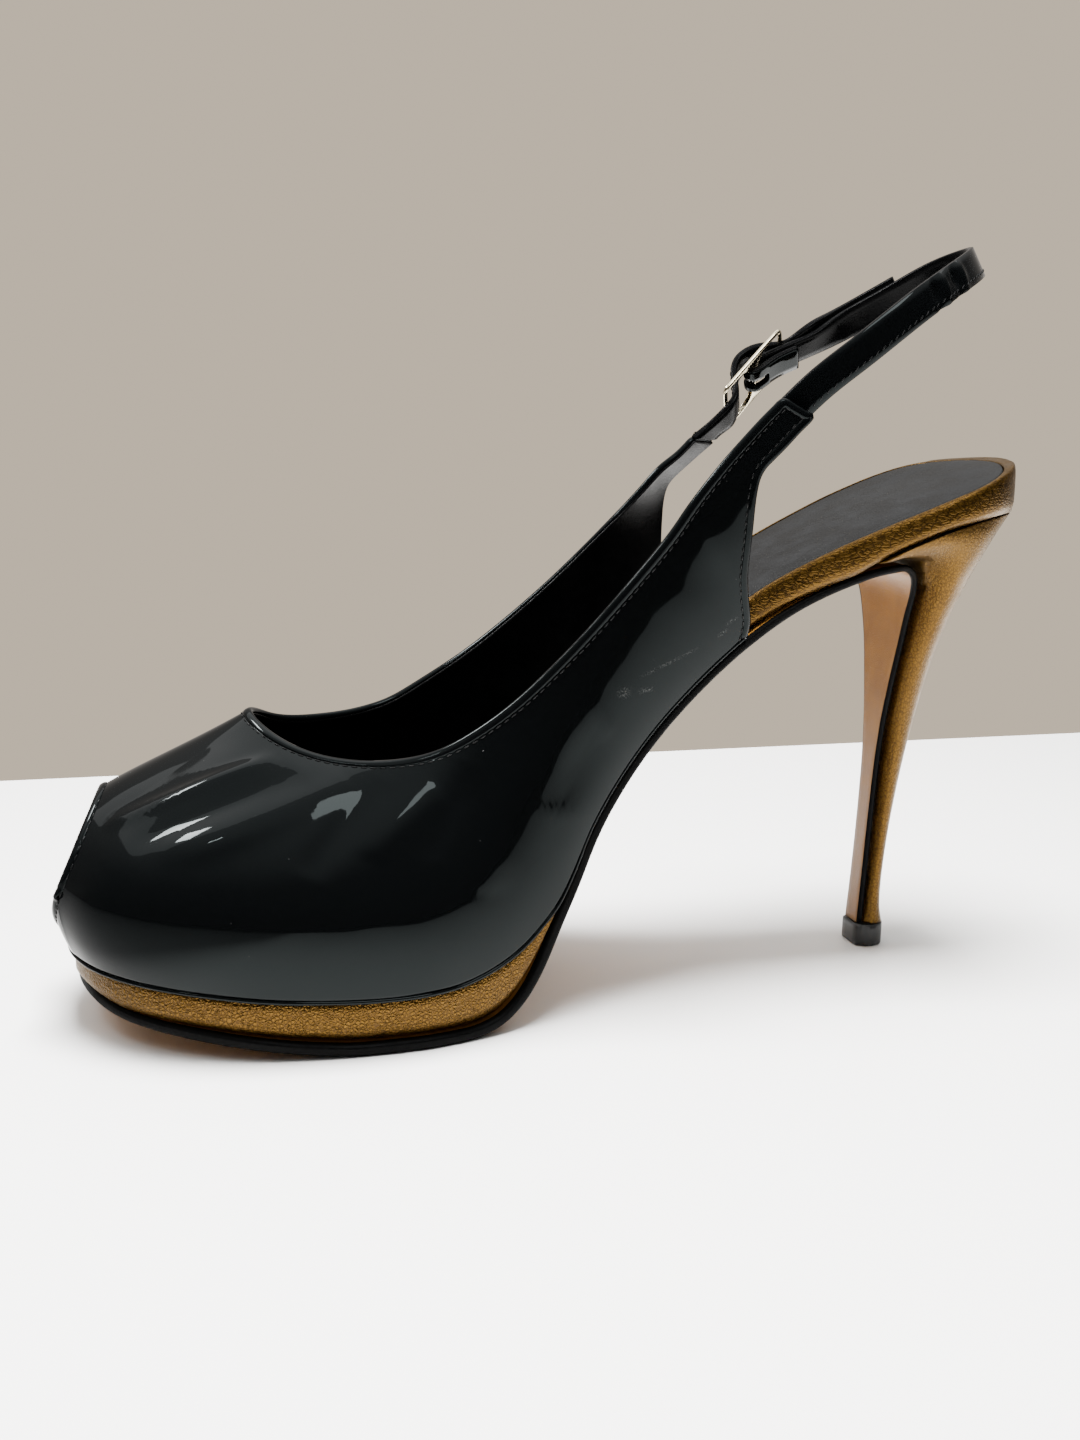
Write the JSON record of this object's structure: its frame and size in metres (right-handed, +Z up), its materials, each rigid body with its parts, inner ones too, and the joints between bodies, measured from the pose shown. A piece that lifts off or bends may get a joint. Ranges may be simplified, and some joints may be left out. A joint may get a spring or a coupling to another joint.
{
  "type": "platform slingback pump",
  "caption": "High-heeled peep-toe platform pump with a black patent upper, a sling strap with a buckle, and a bronze platform and covered heel.",
  "frame": {"origin": "on the floor, under the middle of the shoe's box", "axes": "+X from the toe to the heel, +Y to the outer side with the buckle, +Z up from the floor"},
  "size_m": [0.2088, 0.0821, 0.1596],
  "materials": {
    "outsole_leather": "satin",
    "bronze_leather": "metallic",
    "sock_leather": "matte",
    "tip_rubber": "satin",
    "patent_leather": "high gloss",
    "buckle_metal": "polished"
  },
  "bodies": {
    "root": {"outsole": "outsole_leather", "platform": "bronze_leather", "insole_board": "bronze_leather", "sock_lining": "sock_leather", "heel": "bronze_leather", "heel_tip": "tip_rubber", "upper": "patent_leather", "back_strap": "patent_leather", "buckle_strap": "patent_leather", "buckle_frame": "buckle_metal", "buckle_prong": "buckle_metal"}
  },
  "joints": []
}
